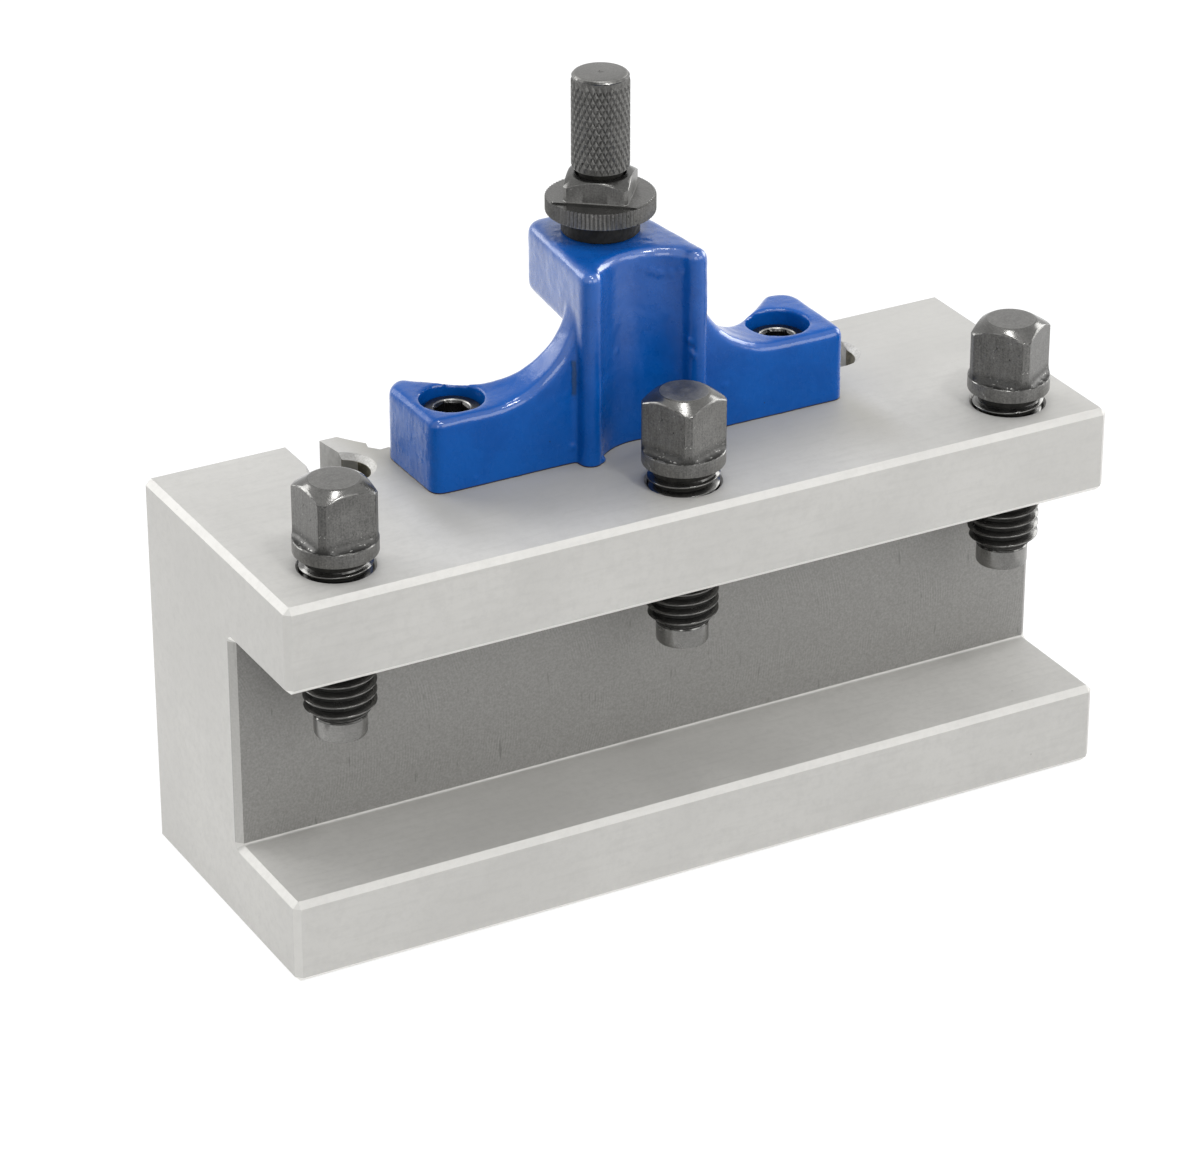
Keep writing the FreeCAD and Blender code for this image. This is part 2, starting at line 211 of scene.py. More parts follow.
def ground_faces(s, x, y, z, cloud, streak):
    """Colour of the ground faces: clouds, grinding streaks, spots of dirt, and painted shade on the top
    in front of the bracket and towards the back right.
    """
    side_x = s.math("ABSOLUTE", x)
    on_top = s.math("GREATER_THAN", z, (TOP_FACE - 0.05) * MM)
    mottle = s.noise(0.7, 4.0, 0.7)
    rare = s.ramp(s.noise(0.05, 1.0, source=s.stretched(1.0, 1.3, 0.8)), 0.55, 0.62)
    dirt = s.product(s.spots(0.16, 0.04), rare)
    # Painted shade: the top turns a darker, warmer grey in front of the bracket
    shade_before_bracket = s.product(s.ramp(y, -26 * MM, -6 * MM), s.ramp(side_x, 38 * MM, 44 * MM, 1.0, 0.0), on_top)
    # Painted shade: the top turns darker towards the back right
    shade_back_right = s.product(s.ramp(y, -8 * MM, 10 * MM), s.ramp(x, 15 * MM, 55 * MM), on_top)
    color = s.blend(s.ramp(cloud, 0.3, 0.7), grey(0.515), grey(0.560))
    color = s.blend(s.product(s.ramp(streak, 0.45, 0.75), 0.35), color, grey(0.46))
    color = s.blend(s.product(s.ramp(mottle, 0.40, 0.70), 0.35), color, grey(0.46))
    color = s.blend(s.product(dirt, 0.5), color, grey(0.30))
    color = s.blend(s.product(shade_before_bracket, 0.65), color, grey(0.38, 0.16))
    return s.blend(s.product(shade_back_right, 0.5), color, grey(0.45))


def ground_steel(bores):
    """Light satin steel: ground outer faces, a darker milled slot wall that is partly painted shade,
    painted shade in the bores, pockets and hook slots, and painted light on the downward chamfers and the
    front left corner.
    """
    pocket_rim = 5.75
    hook_near, hook_far, hook_front = 41.5, 50.4, 14.0
    s = Shader("ground_steel")
    x, y, z = s.axes()
    side_x = s.math("ABSOLUTE", x)
    wall = s.product(s.near(y, SLOT_WALL_Y, 1.2),
                     s.math("GREATER_THAN", z, (SLOT_LOW + 0.3) * MM),
                     s.math("LESS_THAN", z, (SLOT_HIGH - 0.3) * MM))
    hook = s.product(s.math("GREATER_THAN", side_x, hook_near * MM),
                     s.math("LESS_THAN", side_x, hook_far * MM),
                     s.math("GREATER_THAN", y, hook_front * MM),
                     s.math("LESS_THAN", z, (TOP_FACE - 0.05) * MM))
    pocket = s.distance(side_x, y, POCKET_X, POCKET_Y)
    rim = s.product(s.math("LESS_THAN", pocket, pocket_rim),
                    s.math("LESS_THAN", z, (TOP_FACE - 0.04) * MM),
                    s.math("GREATER_THAN", z, (TOP_FACE - 1.0) * MM))
    dark = inside_bores(s, x, y, z, pocket, bores)
    arcs = cutter_marks(s, x, z)
    grain = s.noise(2.6, 4.0, 0.7)
    scratch = s.ramp(s.noise(1.1, 2.0, 0.5, source=s.stretched(1.0, 1.0, 0.16)), 0.66, 0.74)
    cloud = s.noise(0.035, 4.0, 0.6, 0.5)
    streak = s.noise(0.9, 3.0, 0.6, source=s.stretched(0.12, 1.0, 1.0))

    plain = ground_faces(s, x, y, z, cloud, streak)
    # Darker streaked grey in the hook slots: streaks, and partly painted shade of the slots
    plain = s.blend(s.product(hook, s.ramp(streak, 0.3, 0.7, 0.5, 0.9)), plain, grey(0.33))
    # Painted shade: a dark grey inside the bores and round pockets, below their edges
    inner = s.blend(s.ramp(streak, 0.4, 0.7), grey(0.07, 0.35), grey(0.15, 0.35))
    plain = s.blend(dark, plain, inner)
    # The slot wall is a darker grey: milled steel, and partly painted shade of the slot
    milled = s.blend(s.ramp(s.math("ADD", arcs, grain), 0.25, 0.8), grey(0.25), grey(0.38))
    milled = s.blend(s.product(scratch, 0.4), milled, grey(0.14))
    color = s.blend(wall, plain, milled)
    right, back, up = s.facing()
    under = s.product(s.math("LESS_THAN", up, -0.3), s.math("GREATER_THAN", up, -0.9))
    corner = s.product(s.math("LESS_THAN", right, -0.5), s.math("LESS_THAN", back, -0.5))
    # Painted light: downward-facing chamfers, and partly the front left corner chamfer, are lightened
    # towards a pale grey
    color = s.blend(s.math("MAXIMUM", under, s.product(corner, 0.3)), color, grey(0.86))
    color = s.blend(s.product(rim, s.ramp(grain, 0.40, 0.65, 0.0, 0.6)), color, grey(0.28, 0.1))

    rough = s.between(wall, s.ramp(cloud, 0.3, 0.7, 0.56, 0.62), s.ramp(grain, 0.3, 0.7, 0.54, 0.66))
    metallic = s.between(s.math("MAXIMUM", wall, dark), 0.4, 0.8)
    fine = s.bump(s.noise(4.0, 3.0, 0.6, source=s.stretched(0.25, 1.0, 1.0)), 0.004, 0.5)
    rough_parts = s.math("MAXIMUM", s.math("MAXIMUM", wall, hook), s.product(rim, 6.0))
    tooth = s.product(s.math("ADD", arcs, grain), rough_parts)
    normal = s.bump(tooth, 0.02, 0.7, fine)
    return s.finish(Base_Color=color, Metallic=metallic, Roughness=rough, Normal=normal)


def scraped_patch(s, x, y, z):
    """One on a tall ragged patch of the tower's front, where something has scraped the paint."""
    ragged = s.product(s.math("SUBTRACT", s.noise(0.7, 2.0), 0.5), 0.45 * MM)
    beside = s.math("ADD", s.math("ABSOLUTE", s.math("SUBTRACT", x, SCRAPE[0] * MM)), ragged)
    along = s.math("ADD", s.math("ABSOLUTE", s.math("SUBTRACT", z, SCRAPE[1] * MM)), ragged)
    return s.product(s.ramp(beside, 0.20 * MM, 0.55 * MM, 1.0, 0.0),
                     s.ramp(along, 2.6 * MM, 3.4 * MM, 1.0, 0.0),
                     s.math("LESS_THAN", y, -1.0 * MM))


def blue_paint():
    """Thick glossy enamel over a rough casting, which has run down the left wing's end."""
    s = Shader("blue_casting")
    x, y, z = s.axes()
    cloud = s.noise(0.12, 3.0)
    color = s.blend(s.ramp(cloud, 0.35, 0.65), (0.0008, 0.071, 0.325, 1.0), (0.0016, 0.084, 0.368, 1.0))
    # Dark spots of dirt in the paint
    dirt_and_gap_shade = s.product(s.spots(0.35, 0.05), s.ramp(s.noise(0.09, 2.0), 0.5, 0.6))
    color = s.blend(dirt_and_gap_shade, color, (0.010, 0.014, 0.025, 1.0))
    seam = s.ramp(z, (TOP_FACE + 0.10) * MM, (TOP_FACE + 0.32) * MM, 1.0, 0.0)
    color = s.blend(seam, color, (0.030, 0.018, 0.012, 1.0))
    scrape = scraped_patch(s, x, y, z)
    color = s.blend(s.product(scrape, 0.75), color, (0.014, 0.040, 0.095, 1.0))

    rough = s.ramp(s.noise(0.4, 3.0), 0.3, 0.7, 0.24, 0.34)
    at_end = s.ramp(x, (WING_END_X + 0.3) * MM, (WING_END_X + 2.5) * MM, 1.0, 0.0)
    runs = s.noise(1.2, 2.0, 0.5, source=s.stretched(1.0, 1.0, 0.25))
    peel = s.noise(0.5, 2.0, 0.5)
    dimples = s.noise(1.3, 2.0, 0.5)
    sand = s.noise(3.4, 2.0, 0.6)
    shape = s.bump(peel, 0.12, 0.6, s.bump(dimples, 0.04, 0.5, s.bump(sand, 0.02, 0.5)))
    normal = s.bump(s.product(scrape, -1.0), 0.12, 0.5, s.bump(s.product(runs, at_end), 0.09, 0.6, shape))
    _, back, up = s.facing()
    edges = s.product(s.ramp(up, 0.15, 0.45), s.ramp(up, 0.80, 0.95, 1.0, 0.0),
                      s.ramp(back, -0.5, -0.2, 1.0, 0.0))
    slant = s.add("LayerWeight", output=1, Blend=0.5, Normal=normal)
    gloss = s.math("MAXIMUM", s.ramp(slant, 0.38, 0.72, 0.0, 0.5), s.product(edges, 0.75))
    return s.finish(Base_Color=color, Roughness=rough, Normal=normal,
                    Specular_IOR_Level=s.ramp(z, 76 * MM, 92 * MM, 0.15, 0.55), Coat_Weight=gloss,
                    Coat_Roughness=0.06, Coat_IOR=1.7, Coat_Normal=normal)


def black_oxide(name, tone=1.0, rough_low=0.36, rough_high=0.48, foot=None):
    """Blackened steel with fine upright tool marks, ragged pits, a few bright chips, and a foot darkened
    by grime and painted shade.
    """
    s = Shader(name)
    cloud = s.noise(0.25, 3.0, 0.55)
    grain = s.noise(3.2, 4.0, 0.75)
    marks = s.noise(3.5, 3.0, 0.65, source=s.stretched(1.0, 1.0, 0.10))
    cluster = s.ramp(s.noise(0.16, 2.0), 0.48, 0.60)
    holes = s.noise(1.5, 2.0, 0.6, 0.6, s.stretched(1.0, 1.0, 0.6))
    pits = s.product(s.ramp(holes, 0.30, 0.38, 1.0, 0.0), cluster)
    chips = s.product(s.ramp(s.noise(1.9, 1.0), 0.72, 0.76), s.ramp(s.noise(0.3, 1.0), 0.45, 0.6))
    fine = s.math("ADD", s.product(grain, 0.70), s.product(marks, 0.25))
    tint = s.math("ADD", s.product(cloud, 0.25), fine)
    color = s.blend(s.ramp(tint, 0.42, 0.78), grey(0.060 * tone), grey(0.120 * tone))
    color = s.blend(s.product(pits, 0.75), color, grey(0.02 * tone))
    color = s.blend(chips, color, grey(0.40))
    if foot is not None:
        z = s.axes()[2]
        # Darker towards the foot of the head: grime, and painted shade in the crease over the collar
        low = s.ramp(z, foot * MM, (foot + 2.2) * MM, 1.0, 0.0)
        above = s.math("GREATER_THAN", z, (foot + 0.02) * MM)
        burr = s.ramp(s.noise(1.3, 3.0, 0.7, source=s.stretched(1.0, 1.0, 1.8)), 0.60, 0.68)
        color = s.blend(s.product(low, above, 0.85), color, grey(0.012 * tone))
        color = s.blend(s.product(burr, low, above), color, grey(0.30))
    rough = s.ramp(cloud, 0.3, 0.7, rough_low, rough_high)
    height = s.math("SUBTRACT", s.product(s.math("ADD", marks, grain), 0.5), s.product(pits, 1.2))
    normal = s.bump(height, 0.035, 0.7)
    return s.finish(Base_Color=color, Metallic=0.85, Roughness=rough, Normal=normal)


def worn_edge():
    """Corners where the black has rubbed through to steel, more in some places than in others."""
    s = Shader("worn_edge")
    left = s.ramp(s.noise(0.5, 4.0, 0.7), 0.35, 0.62)
    color = s.blend(left, grey(0.18), grey(0.05))
    normal = s.bump(s.noise(3.0, 2.0), 0.02, 0.6)
    rough = s.ramp(left, 0.0, 1.0, 0.30, 0.42)
    return s.finish(Base_Color=color, Metallic=1.0, Roughness=rough, Normal=normal)


def painted_gap_shade():
    """Painted shade: a near-black, oily-looking colour for the gaps, thread roots, bores and the nut's
    hub, where no light reaches.
    """
    s = Shader("painted_gap_shade")
    color = s.blend(s.ramp(s.noise(0.8, 3.0), 0.3, 0.7), grey(0.006, 0.2), grey(0.016, 0.2))
    return s.finish(Base_Color=color, Metallic=0.0, Roughness=s.ramp(s.noise(1.5), 0.3, 0.7, 0.5, 0.8),
                    Specular_IOR_Level=0.3, Normal=s.bump(s.noise(2.0), 0.05, 0.6))


def turned_steel(name, low, high, rough_low=0.34, rough_high=0.46):
    """Turned steel with thin black on it, its fine marks running round."""
    s = Shader(name)
    x, y, z = s.axes()
    out = s.distance(x, y, 0.0, 0.0)
    turned = s.add("CombineXYZ", X=out, Y=s.product(z, 1000.0))
    marks = s.add("TexNoise", {"noise_dimensions": "2D"}, Vector=turned, Scale=4.0, Detail=3.0,
                  Roughness=0.6)
    cloud = s.noise(0.35, 3.0, 0.6)
    grain = s.noise(3.2, 4.0, 0.75)
    fine = s.math("ADD", s.product(grain, 0.6), s.product(marks, 0.1))
    tint = s.math("ADD", s.product(cloud, 0.35), fine)
    color = s.blend(s.ramp(tint, 0.38, 0.72), grey(low), grey(high))
    height = s.math("ADD", s.product(marks, 0.5), s.product(grain, 0.5))
    normal = s.bump(height, 0.02, 0.6)
    rough = s.ramp(cloud, 0.3, 0.7, rough_low, rough_high)
    return s.finish(Base_Color=color, Metallic=0.9, Roughness=rough, Normal=normal)


# Meshes over rings of points

def ring(angles, radius, height):
    radius = np.broadcast_to(np.asarray(radius, float), angles.shape)
    height = np.broadcast_to(np.asarray(height, float), angles.shape)
    return np.stack([radius * np.cos(angles), radius * np.sin(angles), height], 1)


class Skin:
    """Collects vertices in millimetres and faces with a mark, then makes one mesh of them."""

    def __init__(self):
        self.points = []
        self.faces = []
        self.marks = []
        self.count = 0

    def add_points(self, points):
        first = self.count
        self.points.append(points)
        self.count += len(points)
        return first

    def face(self, corners, mark=PLAIN):
        self.faces.append(corners)
        self.marks.append(mark)

    def tube(self, angles, rows, cap_low=None, cap_high=None, bands=None):
        """Rings joined by quads. A row is (radius, height, mark of the band below it), with "bands"
        after it where the columns' own marks count. A cap takes the mark that is given for it."""
        n = len(angles)
        first = [self.add_points(ring(angles, row[0], row[1])) for row in rows]
        for k in range(1, len(rows)):
            low, high, mark = first[k - 1], first[k], rows[k][2]
            for j in range(n):
                nxt = (j + 1) % n
                own = bands[j] if rows[k][3:] == ("bands",) else mark
                self.face((low + j, low + nxt, high + nxt, high + j), own)
        if cap_low is not None:
            self.face(tuple(first[0] + j for j in reversed(range(n))), cap_low)
        if cap_high is not None:
            self.face(tuple(first[-1] + j for j in range(n)), cap_high)

    def thread(self, angles, low, high, pitch, profile, shape):
        """A right-hand thread between two heights. profile is (place in the pitch, share of depth,
        mark), and shape(share, height) gives the radius, the same all round at both ends."""
        n = len(angles)
        turn = (angles - angles[0]) / FULL_TURN
        starts = np.arange(math.floor((low - 2 * pitch) / pitch), math.ceil((high + pitch) / pitch))
        rows = [((k + place) * pitch, share, mark) for k in starts for place, share, mark in profile]
        first = []
        for start, share, mark in rows:
            height = np.clip(start + pitch * turn, low, high)
            radius = np.array([shape(share, z) for z in height])
            first.append(self.add_points(ring(angles, radius, height)))
        step, last = len(profile), len(rows) - 1
        for k in range(last):
            mark = rows[k][2]
            for j in range(n - 1):
                low_left, high_left = first[k] + j, first[k + 1] + j
                self.face((low_left, low_left + 1, high_left + 1, high_left), mark)
            over, over_next = first[min(k + step, last)], first[min(k + 1 + step, last)]
            self.face((first[k] + n - 1, over, over_next, first[k + 1] + n - 1), mark)

    def make(self, name, place, materials, sharp=28):
        mesh = bpy.data.meshes.new(name)
        mesh.from_pydata((np.concatenate(self.points) * MM).tolist(), [], self.faces)
        mesh.polygons.foreach_set("material_index", self.marks)
        work = bmesh.new()
        work.from_mesh(mesh)
        bmesh.ops.remove_doubles(work, verts=work.verts, dist=1e-7)
        bmesh.ops.dissolve_degenerate(work, edges=work.edges, dist=1e-7)
        bmesh.ops.recalc_face_normals(work, faces=work.faces)
        for face in work.faces:
            face.smooth = True
        work.to_mesh(mesh)
        work.free()
        mesh.set_sharp_from_angle(angle=math.radians(sharp))
        piece = bpy.data.objects.new(name, mesh)
        bpy.context.scene.collection.objects.link(piece)
        for material in materials:
            mesh.materials.append(material)
        piece.location = [v * MM for v in place]
        return piece


def round_angles(count):
    return np.arange(count) / count * FULL_TURN


def axis_of(node):
    """Middle in plan, bottom and top of a node, in millimetres."""
    low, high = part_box(node)
    middle = (low + high) / 2 / MM
    return middle.x, middle.y, low.z / MM, high.z / MM


def stand_for(piece, node, body):
    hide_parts(node)
    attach(piece, body)
    return piece


# Clamp screws

def round_thread(pitch, depth, crest_r):
    """One turn of a thread with a round crest, as place in the pitch, share of the depth, and mark."""
    turns = np.radians([-60, -36, -12, 12, 36, 60])
    profile = []
    for turn in turns:
        place = crest_r * (math.sin(turn) - math.sin(turns[0])) / pitch
        profile.append((place, 1 - crest_r * (1 - math.cos(turn)) / depth, SHINY))
    flank = 0.55
    # Thread roots take the near-black painted shade
    profile += [(0.28, flank, GLOSSY), (0.4375, 0.0, GAP_SHADE), (0.6875, 0.0, GLOSSY), (0.85, flank, GLOSSY)]
    return profile


def square_angles(flat_end, edge_end):
    """Angles round a square head, from a flat's middle, and the marks of its columns."""
    flat = np.linspace(-flat_end, flat_end, 23)[:-1]
    first = np.linspace(flat_end, edge_end, 3)[:-1]
    corner = np.linspace(edge_end, 90 - edge_end, 7)[:-1]
    second = np.linspace(90 - edge_end, 90 - flat_end, 3)[:-1]
    quarter = np.concatenate([flat, first, corner, second])
    marks = np.full(len(quarter), PLAIN)
    marks[(quarter > flat_end - 0.01) & (quarter < edge_end - 0.01)] = WORN
    angles = np.radians(np.concatenate([quarter + 90 * k for k in range(4)]))
    return angles, np.tile(marks, 4)


def uneven(angles, waves, seed):
    """Smooth noise round a ring, from about -1 to 1, which closes on itself."""
    return np.array([noise.noise((math.cos(a) * waves, math.sin(a) * waves, seed)) for a in angles])


def foot_fillet(head, head_r, lip):
    """Rows that sweep from the collar's lip up into the sides of the head."""
    foot_r = 1.2
    rows = []
    for turn in np.radians([12, 30, 50, 70, 90]):
        out = np.minimum(head_r - 0.01, head + foot_r * (1 - math.sin(turn)))
        rows.append((out, lip + 0.04 + foot_r * (1 - math.cos(turn)), PLAIN))
    return rows


def clamp_screw(side, materials):
    node = "clamp_screw_" + side
    x, y, _, high = axis_of(node)
    head_r, across, height, collar, top_r = 6.8, 5.25, 12.35, 2.4, 4.1
    dog_r, dog_end, thread_end, neck_end = 4.3, -32.0, -28.2, -1.2
    root_r, depth, pitch, neck_r = 4.85, 1.05, 1.75, 5.3
    slope = math.tan(math.radians(32))
    angles, lands = square_angles(39.1, 39.9)
    off = np.abs((np.degrees(angles) + 45) % 90 - 45)
    flat = across / np.cos(np.radians(off))
    head = np.minimum(head_r, flat)
    rim = height - (head - top_r) * slope

    def radius(share, z):
        thread = root_r + depth * share
        lead_in = dog_r - 0.15 + (z - thread_end) * 1.15
        run_out = neck_r + (neck_end - z) * 1.2
        root = neck_r - (neck_end - z) * 0.5
        return max(min(thread, lead_in, run_out), min(root, neck_r, lead_in))

    ragged_rim = uneven(angles, 5.0, x + 9) * 0.10
    skin = Skin()
    skin.tube(angles, [
        (dog_r - 0.5, dog_end, POINT),
        (dog_r - 0.14, dog_end + 0.18, POINT),
        (dog_r, dog_end + 0.5, POINT),
        (dog_r, thread_end - 0.45, POINT),
        (dog_r + ragged_rim, thread_end - 0.33, SHINY),
        (dog_r - 0.15, thread_end - 0.15, SHINY),
        # The groove above the dog point takes the near-black painted shade
        (dog_r - 0.15, thread_end, GAP_SHADE),
    ], cap_low=POINT)
    skin.thread(angles, thread_end, neck_end, pitch, round_thread(pitch, depth, 0.17), radius)
    ragged = uneven(angles, 7.0, x) * 0.12
    lip = collar + np.where(head < head_r - 0.02, ragged, 0.0)
    skin.tube(angles, [
        (neck_r, neck_end, GLOSSY),
        # Under the collar: near-black painted shade
        (neck_r, -0.25, GAP_SHADE),
        (neck_r + 0.25, 0.0, GAP_SHADE),
        (head_r - 0.25, 0.0, GLOSSY),
        (head_r - 0.05, 0.08, WORN),
        (head_r, 0.22, PLAIN),
        (head_r, collar - 0.12, PLAIN),
        (np.maximum(head_r - 0.12, head), lip, WORN),
        *foot_fillet(head, head_r, lip),
        (head, rim - 0.14, PLAIN, "bands"),
        (head - 0.13, rim + 0.06, WORN),
        (head - 0.35, rim + 0.35 * slope, SHINY),
        (top_r + 0.35, height - 0.22, SHINY),
        (top_r + 0.12, height - 0.09, SHINY),
        (top_r - 0.12, height - 0.02, SHINY),
        (top_r - 0.35, height, RUBBED),
    ], cap_high=RUBBED, bands=lands)
    piece = skin.make(node + "_detailed", (x, y, high - height), materials)
    piece.rotation_euler.z = math.radians(CLAMP_TURN[side])
    return stand_for(piece, node, "clamp_" + side)


# Bracket screws

FINE_THREAD = [(0.0, 1.0, WORN), (0.125, 1.0, PLAIN), (0.4375, 0.0, PLAIN), (0.6875, 0.0, PLAIN)]


def bracket_screw(side, materials):
    node = "bracket_screw_" + side
    x, y, _, high = axis_of(node)
    count = 192
    angles = round_angles(count)
    teeth = np.where(np.arange(count) % 4 < 2, 0.0, 0.14)
    inside = np.abs((np.degrees(angles) + 30) % 60 - 30)
    length, neck_r, head_r, top, socket = 16.0, 2.2, 5.0, 6.0, 2.5
    hexagon = socket / np.cos(np.radians(inside))

    def radius(share, z):
        return min(2.45 + 0.55 * share, neck_r + (z + length), neck_r - z)

    skin = Skin()
    skin.tube(angles, [(0.5, -length, PLAIN), (neck_r, -length, PLAIN)], cap_low=PLAIN)
    skin.thread(angles, -length, 0.0, 1.0, FINE_THREAD, radius)
    skin.tube(angles, [
        (neck_r, 0.0, PLAIN),
        (head_r - 0.3, 0.0, PLAIN),
        (head_r - 0.14, 0.15, PLAIN),
        (head_r - 0.14 - teeth * 0.5, 0.4, PLAIN),
        (head_r - teeth, 0.6, PLAIN),
        (head_r - teeth, top - 1.1, PLAIN),
        (head_r - 0.14, top - 0.8, PLAIN),
        (head_r - 0.14, top - 0.65, PLAIN),
        (head_r - 0.26, top - 0.28, PLAIN),
        (head_r - 0.5, top - 0.07, PLAIN),
        (head_r - 0.8, top, PLAIN),
        (np.maximum(hexagon, socket + 0.65), top, PLAIN),
        (np.maximum(hexagon - 0.05, socket + 0.45), top - 0.15, WORN),
        (hexagon, top - 0.45, PLAIN),
        (hexagon, 2.9, PLAIN),
        (socket - 0.2, 2.8, PLAIN),
        (0.2, 1.6, PLAIN),
    ], cap_high=PLAIN)
    piece = skin.make(node + "_detailed", (x, y, high - top), materials)
    return stand_for(piece, node, "holder")


# Height screw and lock nut

# Heights on the height screw above the block
TIP, THREAD_END, STEM_END, SCREW_TOP = 12.0, 42.3, 44.3, 60.6


def pyramid(skin, corners, middle, reach, radius):
    """A flat topped pyramid over four valley points. Middle and reach are an angle and a height."""
    turn, height = middle
    wide, tall = reach
    first = skin.add_points(np.array([
        ring(np.array([turn]), radius, height - tall)[0],
        ring(np.array([turn + wide]), radius, height)[0],
        ring(np.array([turn]), radius, height + tall)[0],
        ring(np.array([turn - wide]), radius, height)[0],
    ]))
    for i in range(4):
        other = (i + 1) % 4
        skin.face((corners[i], corners[other], first + other, first + i))
    skin.face((first, first + 1, first + 2, first + 3), RUBBED)


def knurl_rows(skin, radius, low, high, around, axial, depth):
    """Diamond knurling between two heights: valley points on two families of helices, and a low flat
    topped pyramid in each diamond. Returns the valley angles of the lowest and the highest ring."""
    rows = int(round((high - low) / (axial / 2)))
    step = (high - low) / rows
    per = FULL_TURN / around
    turns = [(np.arange(around) + 0.5 * (k % 2)) * per for k in range(rows + 1)]
    valleys = [skin.add_points(ring(turns[k], radius - depth, low + k * step)) for k in range(rows + 1)]
    reach = (0.28 * per / 2, 0.50 * step)
    for k in range(rows):
        odd = k % 2
        for j in range(around):
            left = valleys[k + 1] + (j - 1 + odd) % around
            right = valleys[k + 1] + (j + odd) % around
            bottom = valleys[k] + j
            if k == rows - 1:
                skin.face((bottom, right, left))
                continue
            top = valleys[k + 2] + j
            pyramid(skin, (bottom, right, top, left), (turns[k][j], low + (k + 1) * step), reach, radius)
    for j in range(around):
        skin.face((valleys[0] + j, valleys[0] + (j + 1) % around, valleys[1] + j))
    return turns[0], turns[rows]


def knurled_stem():
    knurl_low, knurl_high = STEM_END + 0.2, SCREW_TOP - 0.8
    radius, depth = 4.75, 0.20
    skin = Skin()
    low_turns, high_turns = knurl_rows(skin, radius, knurl_low, knurl_high, 28, 2.07, depth)
    skin.tube(low_turns, [
        # The undercut below the knurl: near-black painted shade
        (3.0, STEM_END, GAP_SHADE),
        (4.3, STEM_END, GAP_SHADE),
        (radius - depth, knurl_low, GAP_SHADE),
    ], cap_low=GAP_SHADE)
    skin.tube(high_turns, [
        (radius - depth, knurl_high, PLAIN),
        (4.5, SCREW_TOP - 0.58, PLAIN),
        (4.4, SCREW_TOP - 0.5, PLAIN),
    ], cap_high=PLAIN)
    return skin


def screw_crown():
    skin = Skin()
    skin.tube(round_angles(96), [
        (4.0, SCREW_TOP - 0.7, GLOSSY),
        (4.58, SCREW_TOP - 0.65, GLOSSY),
        (4.66, SCREW_TOP - 0.5, GLOSSY),
        (4.40, SCREW_TOP - 0.20, WORN),
        (4.15, SCREW_TOP - 0.05, RUBBED),
        (3.9, SCREW_TOP, RUBBED),
        (0.5, SCREW_TOP, RUBBED),
        (0.3, SCREW_TOP - 0.12, PLAIN),
    ], cap_low=PLAIN, cap_high=PLAIN)
    return skin


def threaded_shank():
    tip_r, core_r, neck_r = 3.0, 3.3, 3.6
    angles = round_angles(96)

    def shape(share, z):
        lead_in = tip_r + (z - TIP)
        return max(min(3.32 + 0.68 * share, lead_in, core_r + (THREAD_END - z)), min(lead_in, core_r))

    skin = Skin()
    skin.tube(angles, [(0.4, TIP, PLAIN), (tip_r, TIP, PLAIN)], cap_low=PLAIN)
    skin.thread(angles, TIP, THREAD_END, 1.25, FINE_THREAD, shape)
    skin.tube(angles, [
        # The neck inside the nut: near-black painted shade
        (core_r, THREAD_END, GAP_SHADE),
        (neck_r, THREAD_END, GAP_SHADE),
        (neck_r, STEM_END, GAP_SHADE),
    ], cap_high=GAP_SHADE)
    return skin


def adjusting_screw(materials):
    node = "adjusting_screw"
    x, y, _, high = axis_of(node)
    place = (x, y, high - SCREW_TOP)
    piece = knurled_stem().make("adjusting_screw_knurl", place, materials, sharp=18)
    stand_for(piece, node, "adjuster")
    for part, skin in (("thread", threaded_shank()), ("crown", screw_crown())):
        piece = skin.make("adjusting_screw_" + part, place, materials)
        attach(piece, "adjuster")


def apply_modifiers(piece):
    bpy.context.view_layer.update()
    graph = bpy.context.evaluated_depsgraph_get()
    made = bpy.data.meshes.new_from_object(piece.evaluated_get(graph))
    piece.modifiers.clear()
    piece.data = made


def milled_off(piece, low, high, mark):
    """Takes a box out of a piece, as the cutter that milled the flats did, and marks the new faces."""
    mesh = bpy.data.meshes.new("cutter")
    work = bmesh.new()
    bmesh.ops.create_cube(work, size=1.0)
    for vert in work.verts:
        vert.co = Vector([(low[i] + (vert.co[i] + 0.5) * (high[i] - low[i])) * MM for i in range(3)])
    for face in work.faces:
        face.material_index = mark
    work.to_mesh(mesh)
    work.free()
    for material in piece.data.materials:
        mesh.materials.append(material)
    cutter = bpy.data.objects.new("cutter", mesh)
    bpy.context.scene.collection.objects.link(cutter)
    cutter.location = piece.location
    cutter.rotation_euler = piece.rotation_euler
    cut = piece.modifiers.new("milled", "BOOLEAN")
    cut.operation = "DIFFERENCE"
    cut.solver = "EXACT"
    cut.object = cutter
    apply_modifiers(piece)
    bpy.data.objects.remove(cutter)


